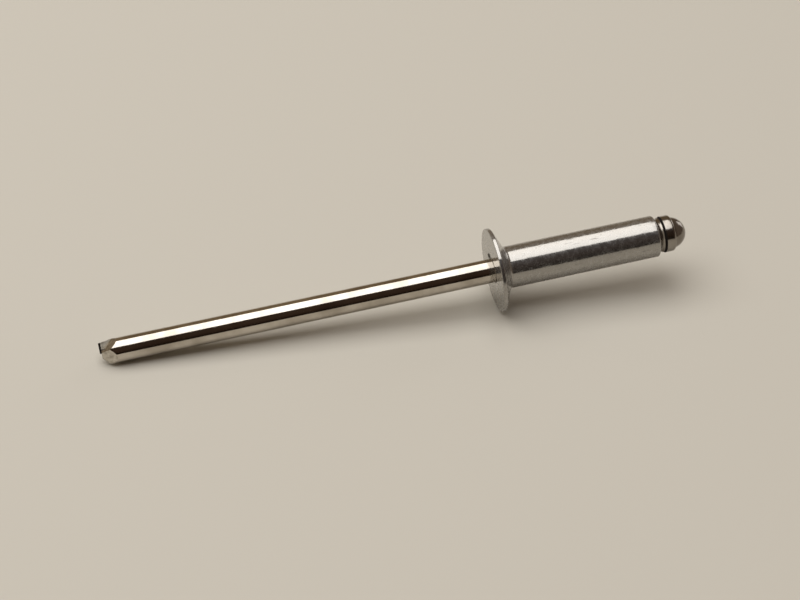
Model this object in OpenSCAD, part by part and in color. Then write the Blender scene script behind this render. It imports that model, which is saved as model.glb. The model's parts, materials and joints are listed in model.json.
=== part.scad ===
// Blind rivet with a countersunk head: a hollow aluminium body on a headed steel mandrel.
// Both pieces are drawn upright about the Z axis, with the flat face of the rivet head at
// z = 0, the shank above it and the mandrel's pinched tip below it. lay_down() then puts
// them on the ground as the rivet comes to rest: on the rim of its head and on its tip.

/* [Rivet body] */
// Diameter of the shank that fills the hole
body_d = 3.2; // [2.9:0.05:4.8]
// Length of the body, from the flat face of the head to the tail
body_len = 12.85; // [8:0.05:20]
// Radius of the outer edge at the tail
tail_round = 0.14; // [0.05:0.01:0.2]

/* [Rivet head] */
// Diameter of the head
head_d = 6.4; // [5.6:0.1:9]
// Full angle of the countersunk cone
head_angle = 130; // [90:5:135]
// Height of the straight land around the rim
rim_h = 0.28; // [0.2:0.01:0.4]
// Radius of the two edges of the rim
rim_round = 0.07; // [0.03:0.01:0.09]
// Radius of the fillet between the cone and the shank
head_fillet = 0.3; // [0.1:0.05:0.5]

/* [Bore] */
// Gap between the mandrel and the bore, on each side
bore_gap = 0.045; // [0.02:0.005:0.08]
// Radius of the bore's edge in the flat face of the head
mouth_round = 0.1; // [0.04:0.01:0.2]
// Depth of the cone at the tail that seats the mandrel's head
seat_depth = 0.2; // [0.1:0.02:0.4]

/* [Mandrel] */
// Diameter of the mandrel's wire
mandrel_d = 1.85; // [1.6:0.05:2.3]
// Length of the mandrel that stands out of the rivet's head
mandrel_out = 29.9; // [22:0.1:40]
// Distance from the tail to the notch where the mandrel breaks
notch_from_tail = 5; // [3:0.5:6]
// Depth of the notch
notch_depth = 0.26; // [0.1:0.02:0.4]
// Full angle of the notch
notch_angle = 80; // [60:5:100]

/* [Mandrel head] */
// Diameter of the collar that is drawn into the body
collar_d = 2.8; // [2.8:0.05:3.4]
// Half angle of the cone under the collar
neck_angle = 33; // [28:1:45]
// Length of the collar past the edge of that cone
collar_len = 0.85; // [0.6:0.05:1.2]
// Radius between the cone and the collar
collar_lead = 0.4; // [0.1:0.05:0.8]
// Radius of the collar's outer edge
collar_round = 0.19; // [0.05:0.01:0.25]
// Depth of the groove between the neck and the collar, where the heading dies met
die_depth = 0.09; // [0.03:0.01:0.12]
// Full angle of that groove
die_angle = 95; // [80:5:120]
// Diameter of the round button on the collar
button_d = 2.4; // [2:0.05:2.5]
// Height of the button above the collar
button_h = 1.08; // [0.6:0.02:1.1]

/* [Pinched tip] */
// Slope of the four facets, from the mandrel's axis
pinch_angle = 28; // [20:1:35]
// Half the width across the facets at the very end
pinch_half = 0.34; // [0.2:0.01:0.45]
// How much deeper the upper die bites
top_bite = 0.07; // [0:0.01:0.1]
// Turn of the facets about the axis, away from level
pinch_turn = -6; // [-40:1:40]
// Height of the burr that the shear left past the pinched end
burr_h = 0.13; // [0.05:0.01:0.3]
// Thickness of the burr
burr_t = 0.26; // [0.1:0.02:0.4]
// Distance of the burr's outer corner from the axis
burr_reach = 0.77; // [0.6:0.01:0.79]
// Slope of the burr's outer edge
burr_angle = 8; // [4:1:15]
// Distance of the broken corner from the axis
break_reach = 0.4; // [0.25:0.01:0.6]
// Slope of the broken corner
break_angle = 45; // [35:1:55]

/* [Hidden] */
$fn = 96;

body_r = body_d / 2;
head_r = head_d / 2;
mandrel_r = mandrel_d / 2;
collar_r = collar_d / 2;
button_r = button_d / 2;
bore_r = mandrel_r + bore_gap;

// The cone rises this steeply from the plane of the flat face
cone_rise = 90 - head_angle / 2;
cone_h = (head_r - body_r) * tan(cone_rise);

// The bore opens out at the tail to seat the cone under the mandrel's collar
seat_r = bore_r + seat_depth * tan(neck_angle);

// Depth of the neck below the tail, and heights above the tail on the mandrel's head
neck_depth = (seat_r - mandrel_r) / tan(neck_angle);
neck_h = (collar_r - seat_r) / tan(neck_angle);
collar_top = neck_h + collar_len;
notch_z = body_len - notch_from_tail;

// The groove runs along the middle of the round edge where the neck turns into the collar
die_lean = -neck_angle / 2;
die_inset = collar_lead * (1 / cos(die_lean) - 1);
die_spot = [collar_r, neck_h] - die_inset * [cos(die_lean), sin(die_lean)];

tip_z = -mandrel_out;
pinch_z = tip_z + burr_h;
burr_len = (mandrel_r - burr_reach) / tan(burr_angle);

// At rest the mandrel bears on the ground where its lowest facet starts, contact_len below
// the flat face, and the head bears on the round edge of its rim
contact_len = -pinch_z - (mandrel_r * cos(pinch_turn) - pinch_half) / tan(pinch_angle);
bear_run = contact_len + rim_round;
bear_rise = head_r - rim_round - mandrel_r;
rest_tilt = atan(bear_rise / bear_run) + asin(rim_round / norm([bear_run, bear_rise]));
rest_height = contact_len * sin(rest_tilt) + mandrel_r * cos(rest_tilt);

// Half way between the tip and the top of the button, along the ground
button_z = body_len + collar_top + button_h - button_r;
button_x = button_z * cos(rest_tilt) + button_r;
rest_middle = (button_x + tip_z * cos(rest_tilt)) / 2;

// A cutter wider than anything on the tip, and the lap of one shape over the next
cutter = 4 * mandrel_d;
lap = 0.02;

// Lays a piece down from the Z axis to the ground, its tip towards -X
module lay_down() {
    translate([-rest_middle, 0, rest_height])
        rotate([0, 90 - rest_tilt, 0])
            children();
}

// What an arc of radius r leaves in the corner p, whose two edges run off at from and to
// degrees. Taken away it rounds an edge, and added it fills a fillet, so it laps both edges.
module corner_web(p, from, to, r) {
    half = (to - from) / 2;
    middle = (to + from) / 2;
    centre = p + r / sin(half) * [cos(middle), sin(middle)];
    lapped = centre - (r + lap) / sin(half) * [cos(middle), sin(middle)];
    run = (r + lap) / tan(half);
    difference() {
        polygon([
            lapped,
            lapped + run * [cos(from), sin(from)],
            centre,
            lapped + run * [cos(to), sin(to)]
        ]);
        translate(centre)
            circle(r = r);
    }
}

// Half section of the body: countersunk head, fillet, shank, tail and bore
module body_section() {
    difference() {
        union() {
            polygon([
                [0, 0],
                [head_r, 0],
                [head_r, rim_h],
                [body_r, rim_h + cone_h],
                [body_r, body_len],
                [0, body_len]
            ]);
            corner_web([body_r, rim_h + cone_h], -cone_rise, 90, head_fillet);
        }
        corner_web([head_r, 0], 90, 180, rim_round);
        corner_web([head_r, rim_h], 180 - cone_rise, 270, rim_round);
        corner_web([body_r, body_len], 180, 270, tail_round);
        bore_section();
    }
}

// Half section of what the bore takes out of the body
module bore_section() {
    translate([0, -lap])
        square([bore_r, body_len + 2 * lap]);
    corner_web([bore_r, 0], 0, 90, mouth_round);
    translate([0, body_len])
        polygon([
            [0, -seat_depth],
            [bore_r, -seat_depth],
            [seat_r, 0],
            [seat_r, lap],
            [0, lap]
        ]);
}

// Half section of the mandrel: notched wire, and the head on it
module mandrel_section() {
    difference() {
        translate([0, pinch_z])
            square([mandrel_r, body_len - pinch_z]);
        groove_section([mandrel_r, notch_z], 0, notch_depth, notch_angle);
    }
    translate([0, body_len])
        mandrel_head_section();
}

// Half section of the mandrel's head, whose neck seats in the tail at y = 0
module mandrel_head_section() {
    difference() {
        polygon([
            [0, -neck_depth],
            [mandrel_r, -neck_depth],
            [collar_r, neck_h],
            [collar_r, collar_top],
            [0, collar_top]
        ]);
        corner_web([collar_r, neck_h], 90, 270 - neck_angle, collar_lead);
        corner_web([collar_r, collar_top], 180, 270, collar_round);
        groove_section(die_spot, die_lean, die_depth, die_angle);
    }
    intersection() {
        translate([0, collar_top + button_h - button_r])
            circle(r = button_r);
        translate([0, collar_top - lap])
            square([button_r, button_h + 2 * lap]);
    }
}

// Section of a V groove of this depth at point p of a surface that faces lean degrees
module groove_section(p, lean, depth, angle) {
    half = (depth + lap) * tan(angle / 2);
    translate(p)
        rotate(lean)
            polygon([[-depth, 0], [lap, -half], [lap, half]]);
}

// Takes away everything past a plane that starts reach from the axis at height z, on the
// side that turn gives, and leans out at slope from the axis
module slope_cut(turn, reach, z, slope) {
    rotate([0, 0, turn])
        translate([reach, 0, z])
            rotate([0, slope, 0])
                translate([0, -cutter / 2, -cutter / 2])
                    cube([cutter, cutter, cutter]);
}

// The pinching dies press four facets, and the corner that sheared last breaks away
module pinch_cuts() {
    for (side = [0:3])
        slope_cut(pinch_turn + 90 * side, pinch_half, pinch_z, pinch_angle);
    slope_cut(pinch_turn + 180, pinch_half - top_bite, pinch_z, pinch_angle);
    slope_cut(pinch_turn - 45, break_reach, pinch_z, break_angle);
}

// The thin burr squeezed out between the dies, along the ridge across from that corner
module shear_burr() {
    intersection() {
        translate([0, 0, tip_z])
            cylinder(h = burr_len, r1 = burr_reach, r2 = mandrel_r);
        rotate([0, 0, pinch_turn + 135])
            translate([0, -burr_t / 2, tip_z])
                cube([mandrel_r, burr_t, burr_len]);
    }
}

module rivet_body() {
    color("#b9b4ab")
        lay_down()
            rotate_extrude()
                body_section();
}

module mandrel() {
    color("#85807a")
        lay_down() {
            difference() {
                rotate_extrude()
                    mandrel_section();
                pinch_cuts();
            }
            shear_burr();
        }
}

rivet_body();
mandrel();
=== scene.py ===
"""Looks of a countersunk blind rivet: a tumbled aluminium body on a bright drawn steel mandrel.

Both pieces are turned about the rivet's own axis, upright as they would sit in a lathe, and then
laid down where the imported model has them. Sizes are in millimetres until a mesh is made.
"""

import json
import logging
import math
from dataclasses import dataclass, field
from enum import Enum, IntEnum

import bpy
from mathutils import Matrix, Vector

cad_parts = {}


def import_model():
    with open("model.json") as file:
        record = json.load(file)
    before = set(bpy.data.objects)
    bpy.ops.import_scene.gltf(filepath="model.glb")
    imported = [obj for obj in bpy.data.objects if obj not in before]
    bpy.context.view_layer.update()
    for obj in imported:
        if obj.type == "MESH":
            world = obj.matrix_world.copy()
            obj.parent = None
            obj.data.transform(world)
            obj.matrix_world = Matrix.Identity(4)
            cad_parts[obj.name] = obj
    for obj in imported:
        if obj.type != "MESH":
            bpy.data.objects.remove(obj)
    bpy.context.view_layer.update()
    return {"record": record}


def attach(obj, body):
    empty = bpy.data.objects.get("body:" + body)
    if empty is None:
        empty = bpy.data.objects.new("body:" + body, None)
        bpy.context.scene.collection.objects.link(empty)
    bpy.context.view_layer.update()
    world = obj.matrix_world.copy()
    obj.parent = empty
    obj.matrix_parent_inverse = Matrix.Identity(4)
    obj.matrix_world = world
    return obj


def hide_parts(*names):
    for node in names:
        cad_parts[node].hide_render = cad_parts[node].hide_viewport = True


LOG = logging.getLogger("blind_rivet")
# One millimetre in metres, and how many edges go round a turned piece
MM = 0.001
ROUND = 256
# In metres: points this close become one, and a cut takes in points this close to it
MERGE_DISTANCE = 1e-7
CUT_TOLERANCE = 1e-8
# The sockets of a mix node that take its two colours, and the one that gives the blend
COLOURS_IN = (6, 7)
COLOUR_OUT = 2


class Slot(Enum):
    """The record's material slots."""

    BODY = "body_aluminium"
    MANDREL = "mandrel_steel"


class Wave(Enum):
    """The kinds of procedural pattern that the finishes use."""

    NOISE = "ShaderNodeTexNoise"
    CELLS = "ShaderNodeTexVoronoi"


class Area(IntEnum):
    """The parts of the mandrel that have a finish of their own, by material index."""

    WIRE = 0
    HEAD = 1
    CUT = 2
    # The torn end, and the groove between the neck and the collar, where its near-black finish is
    # painted shade
    TORN = 3
    BURR = 4


def srgb(code: str) -> tuple[float, float, float, float]:
    """Turn an sRGB hex colour into the linear colour that a shader takes.

    Args:
        code: The colour as "#rrggbb".

    Returns:
        Linear red, green, blue and an alpha of 1.
    """
    parts = [int(code[i : i + 2], 16) / 255 for i in (1, 3, 5)]
    linear = [c / 12.92 if c <= 0.04045 else ((c + 0.055) / 1.055) ** 2.4 for c in parts]
    return (*linear, 1.0)


def add_node(tree: bpy.types.NodeTree, kind: str, settings: dict | None = None,
             links: dict | None = None) -> bpy.types.Node:
    """Add one shader node with its settings and its incoming links.

    Args:
        tree: The node tree that the node goes into.
        kind: The node's type, such as "ShaderNodeMix".
        settings: Attribute names, or input names and numbers, with their values.
        links: Input names or numbers with the output sockets that feed them.

    Returns:
        The new node.
    """
    node = tree.nodes.new(kind)
    for name, value in (settings or {}).items():
        if isinstance(name, str) and hasattr(node, name):
            setattr(node, name, value)
        else:
            node.inputs[name].default_value = value
    for name, source in (links or {}).items():
        tree.links.new(source, node.inputs[name])
    return node


def ramp(tree: bpy.types.NodeTree, value: bpy.types.NodeSocket, window: tuple[float, float],
         ends: tuple[float, float] = (0.0, 1.0), curve: str = "LINEAR") -> bpy.types.NodeSocket:
    """Map one range of values onto another, held at both ends.

    Args:
        tree: The node tree.
        value: The value to map.
        window: Where the ramp starts and ends.
        ends: What it gives there.
        curve: How it runs between them.

    Returns:
        The mapped value.
    """
    return add_node(tree, "ShaderNodeMapRange", {
        "From Min": window[0], "From Max": window[1], "To Min": ends[0], "To Max": ends[1],
        "interpolation_type": curve}, {"Value": value}).outputs["Result"]


def noise(tree: bpy.types.NodeTree, place: bpy.types.NodeSocket, size_mm: float, detail: float,
          roughness: float = 0.5) -> bpy.types.NodeSocket:
    """Draw a soft random pattern.

    Args:
        tree: The node tree.
        place: The place on the piece.
        size_mm: How large its lumps are, in millimetres.
        detail: How many finer layers it has.
        roughness: How strong each finer layer is.

    Returns:
        The pattern, from 0 to 1.
    """
    return add_node(tree, Wave.NOISE.value, {
        "Scale": 1 / (size_mm * MM), "Detail": detail, "Roughness": roughness},
        {"Vector": place}).outputs["Fac"]


def relief(tree: bpy.types.NodeTree, height: bpy.types.NodeSocket, depth_mm: float,
           under: bpy.types.NodeSocket | None = None, strength: float = 1.0,
           sunk: bool = False) -> bpy.types.NodeSocket:
    """Turn a pattern into relief.

    Args:
        tree: The node tree.
        height: The pattern.
        depth_mm: How deep the relief is, in millimetres.
        under: The relief that it goes on top of, if any.
        strength: How much of it shows.
        sunk: Whether the pattern's high values lie deep.

    Returns:
        The direction that the surface faces.
    """
    links = {"Height": height}
    if under is not None:
        links["Normal"] = under
    return add_node(tree, "ShaderNodeBump", {
        "Strength": strength, "Distance": depth_mm * MM, "invert": sunk}, links).outputs["Normal"]


def blend(tree: bpy.types.NodeTree, share: bpy.types.NodeSocket,
          first: str | bpy.types.NodeSocket,
          second: str | bpy.types.NodeSocket) -> bpy.types.NodeSocket:
    """Blend two colours, each an sRGB hex colour or another node's.

    Args:
        tree: The node tree.
        share: How much of the second colour shows, from 0 to 1.
        first: The first colour.
        second: The second colour.

    Returns:
        The blended colour.
    """
    settings = {"data_type": "RGBA"}
    links = {0: share}
    for socket, colour in zip(COLOURS_IN, (first, second)):
        if isinstance(colour, str):
            settings[socket] = srgb(colour)
        else:
            links[socket] = colour
    return add_node(tree, "ShaderNodeMix", settings, links).outputs[COLOUR_OUT]


def empty_material(name: str) -> tuple[bpy.types.Material, bpy.types.NodeTree]:
    """Make a material whose node tree is empty.

    Args:
        name: The material's name.

    Returns:
        The material and its node tree.
    """
    material = bpy.data.materials.new(name)
    material.use_nodes = True
    material.node_tree.nodes.clear()
    return material, material.node_tree


@dataclass(frozen=True)
class RivetAxis:
    """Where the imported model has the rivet's axis.

    The origin is the middle of the head's flat face, and the direction is the way to the tail.
    """

    origin: Vector
    direction: Vector

    @staticmethod
    def from_record(record: dict) -> "RivetAxis":
        """Read the axis off the record's mount on the head's flat face.

        Args:
            record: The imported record.

        Returns:
            The rivet's axis in the frame, in metres.
        """
        face = next(m for m in record["mounts"] if m["name"] == "head_face")
        spot = Vector(face["pos_m"])
        return RivetAxis(Vector((spot.x, 0.0, spot.z)), -Vector(face["axis"]).normalized())

    def placed(self) -> Matrix:
        """Work out how an upright piece is laid down, with its own +X towards the floor.

        Returns:
            The matrix that lays it down.
        """
        along = self.direction
        side = Vector((0.0, 1.0, 0.0))
        down = side.cross(along)
        turn = Matrix((down, side, along)).transposed().to_4x4()
        return Matrix.Translation(self.origin) @ turn

    def lay_down(self, piece: bpy.types.Object) -> None:
        """Put the piece's place into its mesh, so that its object stays at the origin."""
        piece.data.transform(self.placed())
        piece.data.update()

    def place(self, tree: bpy.types.NodeTree) -> bpy.types.NodeSocket:
        """Give a material the place on the piece, measured from the head's flat face.

        Args:
            tree: The material's node tree.

        Returns:
            The place, with X along the rivet to its tail, Y to the far side and Z up from the
            floor.
        """
        rise = math.atan2(self.direction.z, self.direction.x)
        ours = add_node(tree, "ShaderNodeTexCoord").outputs["Object"]
        return add_node(tree, "ShaderNodeMapping", {
            "vector_type": "TEXTURE", "Location": self.origin, "Rotation": (0.0, -rise, 0.0)},
            {"Vector": ours}).outputs["Vector"]


class Lathe:
    """Turns a piece by hand: a ring is extruded, moved and resized from station to station."""

    def __init__(self, name: str, radius: float, height: float) -> None:
        """Start from a flat ring.

        Args:
            name: The piece's name.
            radius: The first ring's radius, in millimetres.
            height: The first ring's height along the axis, in millimetres.
        """
        bpy.ops.object.select_all(action="DESELECT")
        bpy.ops.mesh.primitive_circle_add(
            vertices=ROUND, radius=radius * MM, location=(0.0, 0.0, height * MM))
        self.piece = bpy.context.object
        self.piece.name = self.piece.data.name = name
        self.radius = radius
        self.height = height
        bpy.ops.object.transform_apply(location=True, rotation=True, scale=True)
        bpy.ops.object.mode_set(mode="EDIT")
        bpy.ops.mesh.select_mode(type="VERT")
        bpy.ops.mesh.select_all(action="SELECT")

    def to(self, radius: float, height: float) -> "Lathe":
        """Extrude the open ring to the next station.

        Args:
            radius: The next ring's radius, in millimetres.
            height: Its height along the axis, in millimetres.

        Returns:
            This lathe, so that stations can follow each other.
        """
        rise = (height - self.height) * MM
        grow = radius / self.radius
        bpy.ops.mesh.extrude_region_move(TRANSFORM_OT_translate={"value": (0.0, 0.0, rise)})
        bpy.ops.transform.resize(value=(grow, grow, 1.0), center_override=(0.0, 0.0, 0.0))
        self.radius, self.height = radius, height
        return self

    def straight(self, radius: float, height: float, steps: int) -> "Lathe":
        """Extrude to a station in equal steps, so that a long wall has even faces.

        Args:
            radius: The last ring's radius, in millimetres.
            height: Its height along the axis, in millimetres.
            steps: How many rings the wall takes.

        Returns:
            This lathe.
        """
        r0, h0 = self.radius, self.height
        for k in range(1, steps + 1):
            self.to(r0 + (radius - r0) * k / steps, h0 + (height - h0) * k / steps)
        return self

    def arc(self, centre: tuple[float, float], radius: float, start: float, end: float,
            steps: int) -> "Lathe":
        """Extrude along an arc of the profile.

        Args:
            centre: The arc's centre as distance from the axis and height, in millimetres.
            radius: The arc's radius, in millimetres.
            start: The first angle, in degrees from the outward direction towards +height.
            end: The last angle, in degrees.
            steps: How many rings the arc takes.

        Returns:
            This lathe.
        """
        for k in range(steps + 1):
            a = math.radians(start + (end - start) * k / steps)
            self.to(centre[0] + radius * math.cos(a), centre[1] + radius * math.sin(a))
        return self

    def join(self) -> "Lathe":
        """Close a hollow piece, whose last ring lies on its first.

        Returns:
            This lathe.
        """
        bpy.ops.mesh.select_all(action="SELECT")
        bpy.ops.mesh.remove_doubles(threshold=MERGE_DISTANCE)
        return self

    def cap(self) -> "Lathe":
        """Close the open ring with a fan of faces round one point.

        Returns:
            This lathe.
        """
        bpy.ops.mesh.extrude_region_move()
        bpy.ops.mesh.merge(type="CENTER")
        return self

    def finish(self) -> bpy.types.Object:
        """Merge doubles, close any ring left open, turn the faces outwards and leave edit mode.

        Returns:
            The turned piece.
        """
        bpy.ops.mesh.select_all(action="SELECT")
        bpy.ops.mesh.remove_doubles(threshold=MERGE_DISTANCE)
        bpy.ops.mesh.fill_holes(sides=0)
        bpy.ops.mesh.normals_make_consistent(inside=False)
        bpy.ops.object.mode_set(mode="OBJECT")
        return self.piece


def fillet_centre(corner: tuple[float, float], first: float, second: float,
                  radius: float) -> tuple[float, float]:
    """Find the centre of an arc that touches both edges of a profile's corner.

    Args:
        corner: The corner as distance from the axis and height.
        first: The direction that one edge leaves the corner in, in degrees.
        second: The direction of the other edge, in degrees.
        radius: The arc's radius.

    Returns:
        The arc's centre as distance from the axis and height.
    """
    middle = math.radians((first + second) / 2)
    reach = radius / math.sin(math.radians(abs(second - first) / 2))
    return corner[0] + reach * math.cos(middle), corner[1] + reach * math.sin(middle)


@dataclass(frozen=True)
class TumbledAluminium:
    """Cold-formed 5xxx aluminium, tumbled bright in a barrel with steel shot.

    It gives a bright mirror under a faint haze: shallow dents make the edges of a long highlight
    run a little, soft scuffs cloud it, and a few pits and scratches speckle it. The haze is the
    thin film that the tumbling soap leaves, the shader's coat.
    """

    label: str = "tumbled_aluminium"
    base: str = "#9c9994"
    shade: str = "#938f89"
    pit_tone: str = "#3a342f"
    smear_tone: str = "#3b362c"
    smear_roughness: float = 0.8
    smooth: float = 0.1
    scuffed: float = 0.2
    thin_haze: float = 0.62
    thick_haze: float = 1.0
    haze_roughness: float = 0.54
    haze_ior: float = 1.95
    dent_mm: float = 0.8
    dent_depth_mm: float = 0.013
    peel_mm: float = 0.11
    peel_depth_mm: float = 0.0003
    scuff_mm: float = 0.32
    pit_mm: float = 0.42
    pit_size: float = 0.085
    pit_edge: float = 1.6
    mark_tint: float = 0.5
    mark_strength: float = 0.5
    scratch_mm: float = 0.1
    scratch_run_mm: float = 1.3
    scratch_turns: tuple[float, float] = (35.0, -50.0)
    scratch_window: tuple[float, float] = (0.7, 0.76)
    polish_window: tuple[float, float] = (0.35, 0.7)
    haze_window: tuple[float, float] = (0.4, 0.62)
    smear_mm: tuple[float, float, float] = (0.0, 0.97, 0.68)
    smear_size_mm: tuple[float, float, float] = (0.05, 0.5, 0.2)
    smear_turn: float = -38.0
    smear_edge: tuple[float, float] = (0.7, 1.2)

    def bare(self, tree: bpy.types.NodeTree, place: bpy.types.NodeSocket) -> bpy.types.NodeSocket:
        """Leave out the small dark, matt smear on the flat face, by the bore's mouth.

        Args:
            tree: The material's node tree.
            place: The place on the rivet.

        Returns:
            A socket that is 0 in the smear and 1 elsewhere.
        """
        near = add_node(tree, "ShaderNodeMapping", {
            "vector_type": "TEXTURE", "Location": Vector(self.smear_mm) * MM,
            "Rotation": (math.radians(self.smear_turn), 0.0, 0.0),
            "Scale": Vector(self.smear_size_mm) * MM}, {"Vector": place}).outputs["Vector"]
        away = add_node(tree, "ShaderNodeVectorMath", {"operation": "LENGTH"}, {0: near})
        return ramp(tree, away.outputs["Value"], self.smear_edge)

    def scratches(self, tree: bpy.types.NodeTree, place: bpy.types.NodeSocket,
                  turn: float) -> bpy.types.NodeSocket:
        """Draw thin scratches that run one way.

        Args:
            tree: The material's node tree.
            place: The place on the rivet.
            turn: The way that they run, in degrees about the line of sight from the side.

        Returns:
            A socket that is 1 in a scratch and 0 elsewhere.
        """
        drawn = add_node(tree, "ShaderNodeMapping", {
            "Rotation": (math.radians(turn), math.radians(turn / 2), math.radians(turn)),
            "Scale": (self.scratch_mm / self.scratch_run_mm, 1.0, 1.0)},
            {"Vector": place}).outputs["Vector"]
        lines = noise(tree, drawn, self.scratch_mm, detail=1.0)
        return ramp(tree, lines, self.scratch_window)

    def material(self, axis: RivetAxis) -> bpy.types.Material:
        """Build the node material.

        Args:
            axis: The rivet's axis.

        Returns:
            The finished material.
        """
        material, tree = empty_material(self.label)
        place = axis.place(tree)
        dents = noise(tree, place, self.dent_mm, detail=1.0, roughness=0.4)
        peel = noise(tree, place, self.peel_mm, detail=2.0)
        scuffs = noise(tree, place, self.scuff_mm, detail=2.0)
        cells = add_node(tree, Wave.CELLS.value, {
            "Scale": 1 / (self.pit_mm * MM)}, {"Vector": place}).outputs["Distance"]
        pits = ramp(tree, cells, (self.pit_size, self.pit_size * self.pit_edge), (1.0, 0.0))
        lines = add_node(tree, "ShaderNodeMath", {"operation": "MAXIMUM"}, {
            side: self.scratches(tree, place, turn)
            for side, turn in enumerate(self.scratch_turns)})
        marks = add_node(tree, "ShaderNodeMath", {"operation": "MAXIMUM"}, {
            0: pits, 1: lines.outputs["Value"]}).outputs["Value"]
        bare = self.bare(tree, place)
        tone = blend(tree, scuffs, self.shade, self.base)
        faint = add_node(tree, "ShaderNodeMath", {"operation": "MULTIPLY", 1: self.mark_tint},
                         {0: marks}).outputs["Value"]
        worn = blend(tree, faint, tone, self.pit_tone)
        colour = blend(tree, bare, self.smear_tone, worn)
        polish = ramp(tree, scuffs, self.polish_window, (self.smooth, self.scuffed))
        rough = add_node(tree, "ShaderNodeMix", {"A": self.smear_roughness},
                         {"Factor": bare, "B": polish}).outputs["Result"]
        haze = ramp(tree, scuffs, self.haze_window, (self.thin_haze, self.thick_haze))
        film = add_node(tree, "ShaderNodeMath", {"operation": "MULTIPLY"},
                        {0: haze, 1: bare}).outputs["Value"]
        dented = relief(tree, dents, self.dent_depth_mm)
        peeled = relief(tree, peel, self.peel_depth_mm, under=dented)
        marked = relief(tree, marks, self.peel_depth_mm, under=peeled,
                        strength=self.mark_strength, sunk=True)
        shader = add_node(tree, "ShaderNodeBsdfPrincipled", {
            "Coat Roughness": self.haze_roughness, "Coat IOR": self.haze_ior},
            {"Base Color": colour, "Metallic": bare, "Roughness": rough, "Normal": marked,
             "Coat Weight": film})
        add_node(tree, "ShaderNodeOutputMaterial", None, {"Surface": shader.outputs["BSDF"]})
        return material


@dataclass(frozen=True)
class DrawnSteel:
    """Low-carbon steel wire, drawn bright through a polished die.

    It gives a sharp, warm grey mirror with faint lines along the wire and a few darker specks.
    """

    label: str = "bright_drawn_steel"
    base: str = "#c6bfb4"
    shade: str = "#aca498"
    roughness: float = 0.1
    line_mm: float = 0.05
    line_depth_mm: float = 0.0008
    run_mm: float = 6.0
    cloud_mm: float = 1.6
    cloud_window: tuple[float, float] = (0.35, 0.65)
    line_window: tuple[float, float] = (0.3, 0.7)
    gloss_spread: tuple[float, float] = (0.8, 1.3)

    def material(self, axis: RivetAxis) -> bpy.types.Material:
        """Build the node material.

        Args:
            axis: The rivet's axis.

        Returns:
            The finished material.
        """
        material, tree = empty_material(self.label)
        place = axis.place(tree)
        # Squashed along the wire, so that the pattern draws out into lines
        along = add_node(tree, "ShaderNodeMapping", {
            "Scale": (self.line_mm / self.run_mm, 1.0, 1.0)}, {"Vector": place}).outputs["Vector"]
        lines = noise(tree, along, self.line_mm, detail=3.0)
        cloud = noise(tree, place, self.cloud_mm, detail=3.0)
        tone = ramp(tree, cloud, self.cloud_window)
        colour = blend(tree, tone, self.shade, self.base)
        low, high = self.gloss_spread
        rough = ramp(tree, lines, self.line_window, (self.roughness * low, self.roughness * high))
        shader = add_node(tree, "ShaderNodeBsdfPrincipled", {"Metallic": 1.0}, {
            "Base Color": colour, "Roughness": rough,
            "Normal": relief(tree, lines, self.line_depth_mm)})
        add_node(tree, "ShaderNodeOutputMaterial", None, {"Surface": shader.outputs["BSDF"]})
        return material


@dataclass(frozen=True)
class ShearedSteel:
    """The same wire where the cutting dies pinched it off.

    It gives duller, patchy grey facets, with a dark and ragged line along the torn end.
    """

    label: str = "sheared_steel"
    base: str = "#d2ccc2"
    shade: str = "#a39d92"
    torn_tone: str = "#171210"
    roughness: float = 0.13
    patch_mm: float = 0.3
    patch_window: tuple[float, float] = (0.35, 0.65)
    grain_mm: float = 0.3
    grain_depth_mm: float = 0.0015
    torn_mm: float = 0.13
    torn_at_mm: float = -29.9
    ragged_mm: float = 0.1
    torn_blur: float = 0.3
    metal: float = 1.0
    gloss: float = 0.5

    def torn(self, tree: bpy.types.NodeTree, place: bpy.types.NodeSocket,
             grain: bpy.types.NodeSocket) -> bpy.types.NodeSocket:
        """Find the torn end, whose edge the grain makes ragged.

        Args:
            tree: The material's node tree.
            place: The place on the rivet.
            grain: The grain's height.

        Returns:
            A socket that is 1 at the torn end and 0 elsewhere.
        """
        along = add_node(tree, "ShaderNodeSeparateXYZ", None, {"Vector": place}).outputs["X"]
        ragged = add_node(tree, "ShaderNodeMath", {
            "operation": "MULTIPLY_ADD", 1: self.ragged_mm * MM}, {0: grain, 2: along})
        edge = (self.torn_at_mm + self.torn_mm + self.ragged_mm / 2) * MM
        blur = self.torn_blur * self.torn_mm * MM
        return ramp(tree, ragged.outputs["Value"], (edge, edge + blur), (1.0, 0.0))

    def material(self, axis: RivetAxis) -> bpy.types.Material:
        """Build the node material.

        Args:
            axis: The rivet's axis.

        Returns:
            The finished material.
        """
        material, tree = empty_material(self.label)
        place = axis.place(tree)
        grain = noise(tree, place, self.grain_mm, detail=4.0, roughness=0.6)
        patch = noise(tree, place, self.patch_mm, detail=2.0)
        patches = ramp(tree, patch, self.patch_window)
        tone = blend(tree, patches, self.shade, self.base)
        colour = blend(tree, self.torn(tree, place, grain), tone, self.torn_tone)
        shader = add_node(tree, "ShaderNodeBsdfPrincipled", {
            "Metallic": self.metal, "Roughness": self.roughness,
            "Specular IOR Level": self.gloss},
            {"Normal": relief(tree, grain, self.grain_depth_mm), "Base Color": colour})
        add_node(tree, "ShaderNodeOutputMaterial", None, {"Surface": shader.outputs["BSDF"]})
        return material


@dataclass(frozen=True)
class TornEndAndPaintedGrooveShade(ShearedSteel):
    """The wire's very end, where the last of the steel tore, and the groove between the neck and
    the collar.

    It gives a near-black, matt, ragged line round the end, and painted shade in the groove.
    """

    label: str = "torn_end_and_painted_groove_shade"
    base: str = "#1f1914"
    shade: str = "#15110d"
    roughness: float = 0.7
    grain_mm: float = 0.08
    grain_depth_mm: float = 0.012
    metal: float = 0.0
    gloss: float = 0.2


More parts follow.
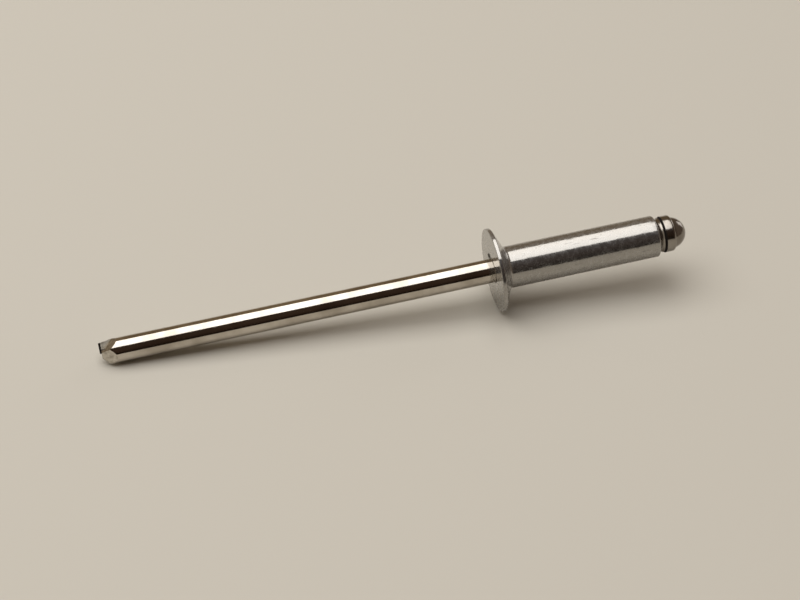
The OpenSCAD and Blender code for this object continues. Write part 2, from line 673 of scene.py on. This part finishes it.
@dataclass(frozen=True)
class BurrSteel(ShearedSteel):
    """The thin burr that the shears squeezed out between them.

    It gives a dull grey, torn all over, which catches the light evenly and mirrors nothing.
    """

    label: str = "torn_burr_steel"
    base: str = "#a59f93"
    shade: str = "#7f796e"
    roughness: float = 0.55
    grain_mm: float = 0.1
    grain_depth_mm: float = 0.006


@dataclass(frozen=True)
class HeadedSteel(DrawnSteel):
    """The wire's end where the heading dies upset it, still under a film of drawing soap.

    It gives a darker grey than the bright wire, a little duller and lumpy, with no lines along it.
    """

    label: str = "soaped_headed_steel"
    base: str = "#9a948c"
    shade: str = "#7f7871"
    roughness: float = 0.16
    line_mm: float = 0.22
    line_depth_mm: float = 0.006
    run_mm: float = 0.25


@dataclass(frozen=True)
class PaleCard:
    """Uncoated pale card.

    It gives a plain matt floor, warm and light, with hardly any shine.
    """

    label: str = "pale_card"
    base: str = "#c6c1b6"
    roughness: float = 0.9
    gloss: float = 0.1

    def material(self) -> bpy.types.Material:
        """Build the node material.

        Returns:
            The finished material.
        """
        material, tree = empty_material(self.label)
        shader = add_node(tree, "ShaderNodeBsdfPrincipled", {
            "Base Color": srgb(self.base), "Roughness": self.roughness,
            "Specular IOR Level": self.gloss})
        add_node(tree, "ShaderNodeOutputMaterial", None, {"Surface": shader.outputs["BSDF"]})
        return material


@dataclass
class RivetBody:
    """The hollow aluminium body with its countersunk head."""

    axis: RivetAxis
    shank_r: float = 1.6
    length: float = 12.85
    tail_round: float = 0.14
    head_r: float = 3.2
    cone_rise: float = 25.0
    rim_h: float = 0.28
    rim_round: float = 0.07
    head_fillet: float = 0.3
    bore_r: float = 0.97
    mouth_round: float = 0.1
    seat_depth: float = 0.2
    seat_half_angle: float = 33.0
    smooth_angle: float = 40.0
    finish: TumbledAluminium = field(default_factory=TumbledAluminium)

    def turned(self) -> bpy.types.Object:
        """Turn the body from the bore's mouth over the head, down the shank and back up the bore.

        Returns:
            The upright body.
        """
        cone_h = (self.head_r - self.shank_r) * math.tan(math.radians(self.cone_rise))
        seat_r = self.bore_r + self.seat_depth * math.tan(math.radians(self.seat_half_angle))
        mouth = self.bore_r + self.mouth_round
        lathe = Lathe("rivet_body_turned", self.bore_r, self.mouth_round)
        lathe.arc((mouth, self.mouth_round), self.mouth_round, 180, 270, steps=8)
        lathe.straight(self.head_r - self.rim_round, 0.0, steps=10)
        lathe.arc((self.head_r - self.rim_round, self.rim_round), self.rim_round, -90, 0, steps=8)
        top = fillet_centre((self.head_r, self.rim_h), 270, 180 - self.cone_rise, self.rim_round)
        lathe.arc(top, self.rim_round, 0, 90 - self.cone_rise, steps=6)
        root = fillet_centre((self.shank_r, self.rim_h + cone_h), -self.cone_rise, 90,
                             self.head_fillet)
        rise = math.radians(self.cone_rise)
        lathe.straight(root[0] - self.head_fillet * math.sin(rise),
                       root[1] - self.head_fillet * math.cos(rise), steps=8)
        lathe.arc(root, self.head_fillet, 270 - self.cone_rise, 180, steps=12)
        lathe.straight(self.shank_r, self.length - self.tail_round, steps=24)
        lathe.arc((self.shank_r - self.tail_round, self.length - self.tail_round),
                  self.tail_round, 0, 90, steps=10)
        lathe.straight(seat_r, self.length, steps=3)
        lathe.straight(self.bore_r, self.length - self.seat_depth, steps=3)
        lathe.straight(self.bore_r, self.mouth_round, steps=6)
        return lathe.join().finish()

    def build(self) -> bpy.types.Object:
        """Build the body, lay it down and dress it.

        Returns:
            The finished body.
        """
        body = self.turned()
        self.axis.lay_down(body)
        body.data.materials.append(self.finish.material(self.axis))
        smooth(body, self.smooth_angle)
        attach(body, "root")
        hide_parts("rivet_body")
        return body


@dataclass
class Mandrel:
    """The headed steel mandrel, with its pinched tip."""

    axis: RivetAxis
    wire_r: float = 0.925
    out: float = 29.9
    body_length: float = 12.85
    notch_from_tail: float = 5.0
    notch_depth: float = 0.26
    notch_half_angle: float = 40.0
    seat_r: float = 1.1
    neck_half_angle: float = 33.0
    collar_r: float = 1.4
    collar_len: float = 0.85
    collar_lead: float = 0.4
    collar_round: float = 0.19
    die_depth: float = 0.09
    die_half_angle: float = 47.5
    button_r: float = 1.2
    button_h: float = 1.08
    pinch_angle: float = 28.0
    pinch_half: float = 0.34
    top_bite: float = 0.07
    pinch_turn: float = -6.0
    burr_h: float = 0.13
    burr_t: float = 0.26
    burr_reach: float = 0.77
    burr_angle: float = 8.0
    burr_turn: float = 135.0
    burr_sink: float = 0.001
    break_reach: float = 0.4
    break_angle: float = 45.0
    break_turn: float = -45.0
    top_jaw: int = 2
    # The radius that turning starts from, and where the button's arc ends, in degrees
    core_r: float = 0.02
    crown_end: float = 89.0
    # What tells the finishes apart: places in millimetres, the groove's leans in degrees, and
    # the other leans as the part of a face's normal that points one way
    head_overlap: float = 0.5
    cut_reach: float = 2.4
    cut_lean: float = 0.995
    torn_lean: float = 0.65
    burr_lean: float = 0.2
    # The groove's faces that get painted shade: how near the die line they lie, and the leans that
    # are left out
    groove_span: float = 0.18
    groove_lean: tuple[float, float] = (-45.0, 15.0)
    smooth_angle: float = 20.0
    finish: DrawnSteel = field(default_factory=DrawnSteel)
    head_finish: HeadedSteel = field(default_factory=HeadedSteel)
    cut_finish: ShearedSteel = field(default_factory=ShearedSteel)
    end_and_groove_shade_finish: TornEndAndPaintedGrooveShade = field(default_factory=TornEndAndPaintedGrooveShade)
    burr_finish: BurrSteel = field(default_factory=BurrSteel)

    @property
    def die_line(self) -> float:
        """Return the height of the edge between the neck and the collar."""
        slope = math.tan(math.radians(self.neck_half_angle))
        return self.body_length + (self.collar_r - self.seat_r) / slope

    def turned(self) -> bpy.types.Object:
        """Turn the wire and its head, from the end of the wire to the top of the button.

        Returns:
            The upright mandrel, with a plain square end.
        """
        slope = math.tan(math.radians(self.neck_half_angle))
        tail = self.body_length
        neck_foot = tail - (self.seat_r - self.wire_r) / slope
        neck_top = self.die_line
        collar_top = neck_top + self.collar_len
        end = -self.out + self.burr_h
        lathe = Lathe("mandrel_turned", self.core_r, end)
        lathe.straight(self.wire_r, end, steps=3)
        notch = tail - self.notch_from_tail
        half = self.notch_depth * math.tan(math.radians(self.notch_half_angle))
        lathe.straight(self.wire_r, notch - half, steps=60)
        lathe.to(self.wire_r - self.notch_depth, notch).to(self.wire_r, notch + half)
        lathe.straight(self.wire_r, neck_foot, steps=8)
        lead = fillet_centre((self.collar_r, neck_top), 90, 270 - self.neck_half_angle,
                             self.collar_lead)
        lean = -self.neck_half_angle / 2
        width = self.die_depth * math.tan(math.radians(self.die_half_angle))
        reach = math.degrees(math.asin(width / self.collar_lead))
        floor_r = self.collar_lead - self.die_depth
        lathe.arc(lead, self.collar_lead, 2 * lean, lean - reach, steps=2)
        lathe.to(lead[0] + floor_r * math.cos(math.radians(lean)),
                 lead[1] + floor_r * math.sin(math.radians(lean)))
        lathe.arc(lead, self.collar_lead, lean + reach, 0, steps=2)
        lathe.straight(self.collar_r, collar_top - self.collar_round, steps=4)
        lathe.arc((self.collar_r - self.collar_round, collar_top - self.collar_round),
                  self.collar_round, 0, 90, steps=8)
        centre = collar_top + self.button_h - self.button_r
        foot = math.degrees(math.asin((collar_top - centre) / self.button_r))
        lathe.arc((0.0, centre), self.button_r, foot, self.crown_end, steps=30)
        return lathe.cap().finish()

    def slope_cut(self, turn: float, reach: float, height: float, slope: float) -> None:
        """Bisect the mandrel with one plane and fill the cut, as one jaw of the cutting dies does.

        Args:
            turn: The plane's direction about the axis, in degrees.
            reach: Its distance from the axis at that height, in millimetres.
            height: The height, in millimetres.
            slope: How far it leans out from the axis, in degrees.
        """
        a, s = math.radians(turn), math.radians(slope)
        outward = Vector((math.cos(a), math.sin(a), 0.0))
        normal = outward * math.cos(s) - Vector((0.0, 0.0, 1.0)) * math.sin(s)
        point = outward * reach * MM + Vector((0.0, 0.0, height * MM))
        bpy.ops.mesh.select_all(action="SELECT")
        bpy.ops.mesh.bisect(plane_co=point, plane_no=normal, use_fill=True, clear_outer=True,
                            threshold=CUT_TOLERANCE)

    def pinch(self, mandrel: bpy.types.Object) -> None:
        """Press the four facets and break the corner that sheared last.

        Args:
            mandrel: The upright mandrel.
        """
        end = -self.out + self.burr_h
        select_only(mandrel)
        bpy.ops.object.mode_set(mode="EDIT")
        for side in range(4):
            bite = self.top_bite if side == self.top_jaw else 0.0
            self.slope_cut(self.pinch_turn + 90 * side, self.pinch_half - bite, end,
                           self.pinch_angle)
        self.slope_cut(self.pinch_turn + self.break_turn, self.break_reach, end,
                       self.break_angle)
        bpy.ops.object.mode_set(mode="OBJECT")

    def burr(self) -> bpy.types.Object:
        """Make the thin burr that was squeezed out between the dies.

        Returns:
            The upright burr, which laps into the wire.
        """
        tip = -self.out
        length = (self.wire_r - self.burr_reach) / math.tan(math.radians(self.burr_angle))
        lathe = Lathe("shear_burr", self.core_r, tip)
        lathe.straight(self.burr_reach, tip, steps=2)
        lathe.straight(self.wire_r - self.burr_sink, tip + length, steps=6)
        lathe.straight(self.core_r, tip + length, steps=2)
        burr = lathe.finish()
        turn = math.radians(self.pinch_turn + self.burr_turn)
        along = Vector((math.cos(turn), math.sin(turn), 0.0))
        across = Vector((-along.y, along.x, 0.0))
        bpy.ops.object.mode_set(mode="EDIT")
        for normal, reach in ((across, self.burr_t / 2), (-across, self.burr_t / 2), (-along, 0.0)):
            bpy.ops.mesh.select_all(action="SELECT")
            bpy.ops.mesh.bisect(plane_co=normal * reach * MM, plane_no=normal, use_fill=True,
                                clear_outer=True, threshold=CUT_TOLERANCE)
        bpy.ops.object.mode_set(mode="OBJECT")
        return burr

    def dress(self, mandrel: bpy.types.Object) -> None:
        """Give the wire, its head, the cut facets, the torn end and the burr each their finish, and
        paint shade into the groove between the neck and the collar with the torn end's near-black
        finish.

        Args:
            mandrel: The upright mandrel.
        """
        for finish in (self.finish, self.head_finish, self.cut_finish, self.end_and_groove_shade_finish,
                       self.burr_finish):
            mandrel.data.materials.append(finish.material(self.axis))
        for face in mandrel.data.polygons:
            centre = face.center / MM
            spread = Vector((centre.x, centre.y, 0.0)).normalized()
            lean = math.degrees(math.atan2(face.normal.z, face.normal.dot(spread)))
            beside = self.groove_lean[0] < lean < self.groove_lean[1]
            at_tip = centre.z < self.cut_reach - self.out
            # The groove at the die line, apart from its outer faces, takes the near-black finish as
            # painted shade
            if abs(centre.z - self.die_line) < self.groove_span and not beside:
                face.material_index = Area.TORN
            elif centre.z > self.body_length - self.head_overlap:
                face.material_index = Area.HEAD
            elif at_tip and face.normal.z < -self.torn_lean:
                face.material_index = Area.TORN
            elif at_tip and face.normal.dot(spread) < self.cut_lean:
                upright = abs(face.normal.z) < self.burr_lean
                face.material_index = Area.BURR if upright else Area.CUT

    def build(self) -> bpy.types.Object:
        """Build the mandrel, lay it down and dress it.

        Returns:
            The finished mandrel.
        """
        mandrel = self.turned()
        self.pinch(mandrel)
        join_solid(mandrel, self.burr())
        self.dress(mandrel)
        self.axis.lay_down(mandrel)
        smooth(mandrel, self.smooth_angle)
        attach(mandrel, "root")
        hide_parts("mandrel")
        return mandrel


def join_solid(piece: bpy.types.Object, other: bpy.types.Object) -> None:
    """Unite another solid with the piece, and drop the other.

    Args:
        piece: The piece that grows.
        other: The solid that goes into it.
    """
    select_only(piece)
    union = piece.modifiers.new("union", "BOOLEAN")
    union.operation, union.solver, union.object = "UNION", "EXACT", other
    bpy.ops.object.modifier_apply(modifier=union.name)
    bpy.data.objects.remove(other)


def select_only(piece: bpy.types.Object) -> None:
    """Make the piece the only selected and the active object.

    Args:
        piece: The piece.
    """
    bpy.ops.object.select_all(action="DESELECT")
    piece.select_set(True)
    bpy.context.view_layer.objects.active = piece


def smooth(piece: bpy.types.Object, degrees: float) -> None:
    """Shade the piece smooth, apart from edges sharper than the angle."""
    select_only(piece)
    bpy.ops.object.shade_smooth_by_angle(angle=math.radians(degrees))


@dataclass
class Studio:
    """A pale floor, a large soft light overhead, a small low window, a dim room and the camera.

    Sizes are in metres and angles in degrees. Each fade is the part of a direction where the
    room's tone starts to change, and where it has changed.
    """

    azimuth: float = -13.323
    elevation: float = 39.389
    distance: float = 0.12998
    aim: tuple[float, float, float] = (0.0, -0.00042, 0.00201)
    view_width: float = 26.0
    floor_span: float = 1.2
    light_height: float = 0.5
    light_size: tuple[float, float] = (0.77, 0.616)
    light_shift: tuple[float, float] = (-0.215, 0.098)
    light_power: float = 3.89
    window_way: tuple[float, float, float] = (0.852, 0.468, 0.232)
    window_size: tuple[float, float] = (0.18, 0.31)
    window_power: float = 0.26
    front_tone: str = "#3e3027"
    skirt_tone: str = "#1d140c"
    back_tone: str = "#86745c"
    left_tone: str = "#b3aa9d"
    right_tone: str = "#7a6c60"
    back_fade: tuple[float, float] = (-0.4, 0.7)
    left_fade: tuple[float, float] = (-0.35, -0.85)
    right_fade: tuple[float, float] = (0.3, 0.65)
    high_fade: tuple[float, float] = (0.0, 0.6)
    near_clip: float = 0.001
    card: PaleCard = field(default_factory=PaleCard)

    def floor(self) -> None:
        """Lay the floor just under the rivet."""
        bpy.ops.object.select_all(action="DESELECT")
        bpy.ops.mesh.primitive_plane_add(size=self.floor_span)
        floor = bpy.context.object
        floor.name = "floor"
        floor.data.materials.append(self.card.material())

    def lamp(self, name: str, size: tuple[float, float], power: float, place: Vector,
             way: Vector) -> None:
        """Hang one soft rectangular lamp.

        Args:
            name: The lamp's name.
            size: Its two sides.
            power: Its power.
            place: Its middle.
            way: The direction that it faces away from.
        """
        lamp = bpy.data.lights.new(name, "AREA")
        lamp.shape = "RECTANGLE"
        lamp.size, lamp.size_y = size
        lamp.energy = power
        holder = bpy.data.objects.new(name, lamp)
        holder.location = place
        holder.rotation_euler = way.to_track_quat("Z", "Y").to_euler()
        bpy.context.scene.collection.objects.link(holder)

    def lights(self) -> None:
        """Hang the soft box overhead, a little towards the far side, and a small low window."""
        self.lamp("soft_box", self.light_size, self.light_power,
                  Vector((*self.light_shift, self.light_height)), Vector((0.0, 0.0, 1.0)))
        way = Vector(self.window_way)
        self.lamp("low_window", self.window_size, self.window_power, way * self.light_height, way)

    def room(self) -> None:
        """Give the dim room: dark in front, brown behind, with a paler wall at either end."""
        world = bpy.data.worlds.new("dim_room")
        bpy.context.scene.world = world
        world.use_nodes = True
        tree = world.node_tree
        tree.nodes.clear()
        way = add_node(tree, "ShaderNodeTexCoord").outputs["Generated"]
        parts = add_node(tree, "ShaderNodeSeparateXYZ", None, {"Vector": way})
        back = ramp(tree, parts.outputs["Y"], self.back_fade, curve="SMOOTHSTEP")
        left = ramp(tree, parts.outputs["X"], self.left_fade, curve="SMOOTHSTEP")
        right = ramp(tree, parts.outputs["X"], self.right_fade, curve="SMOOTHSTEP")
        high = ramp(tree, parts.outputs["Z"], self.high_fade, curve="SMOOTHSTEP")
        front = blend(tree, high, self.skirt_tone, self.front_tone)
        deep = blend(tree, back, front, self.back_tone)
        to_left = blend(tree, left, deep, self.left_tone)
        colour = blend(tree, right, to_left, self.right_tone)
        backdrop = add_node(tree, "ShaderNodeBackground", {"Strength": 1.0}, {"Color": colour})
        add_node(tree, "ShaderNodeOutputWorld", None, {"Surface": backdrop.outputs["Background"]})

    def camera(self) -> None:
        """Set up the camera."""
        az, el = math.radians(self.azimuth), math.radians(self.elevation)
        back = Vector((math.sin(az) * math.cos(el), -math.cos(az) * math.cos(el), math.sin(el)))
        lens = bpy.data.cameras.new("camera")
        lens.angle = math.radians(self.view_width)
        lens.clip_start = self.near_clip
        camera = bpy.data.objects.new("camera", lens)
        camera.location = Vector(self.aim) + back * self.distance
        camera.rotation_euler = back.to_track_quat("Z", "Y").to_euler()
        bpy.context.scene.collection.objects.link(camera)
        bpy.context.scene.camera = camera

    def build(self) -> None:
        """Build the whole studio."""
        self.floor()
        self.lights()
        self.room()
        self.camera()
        bpy.context.scene.view_settings.view_transform = "Standard"


def main() -> None:
    """Build the studio and both pieces."""
    logging.basicConfig(level=logging.INFO, format="%(name)s: %(message)s")
    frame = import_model()
    axis = RivetAxis.from_record(frame["record"])
    Studio().build()
    for piece in (RivetBody(axis).build(), Mandrel(axis).build()):
        LOG.info("%s: %d faces", piece.name, len(piece.data.polygons))


if __name__ == "__main__":
    main()
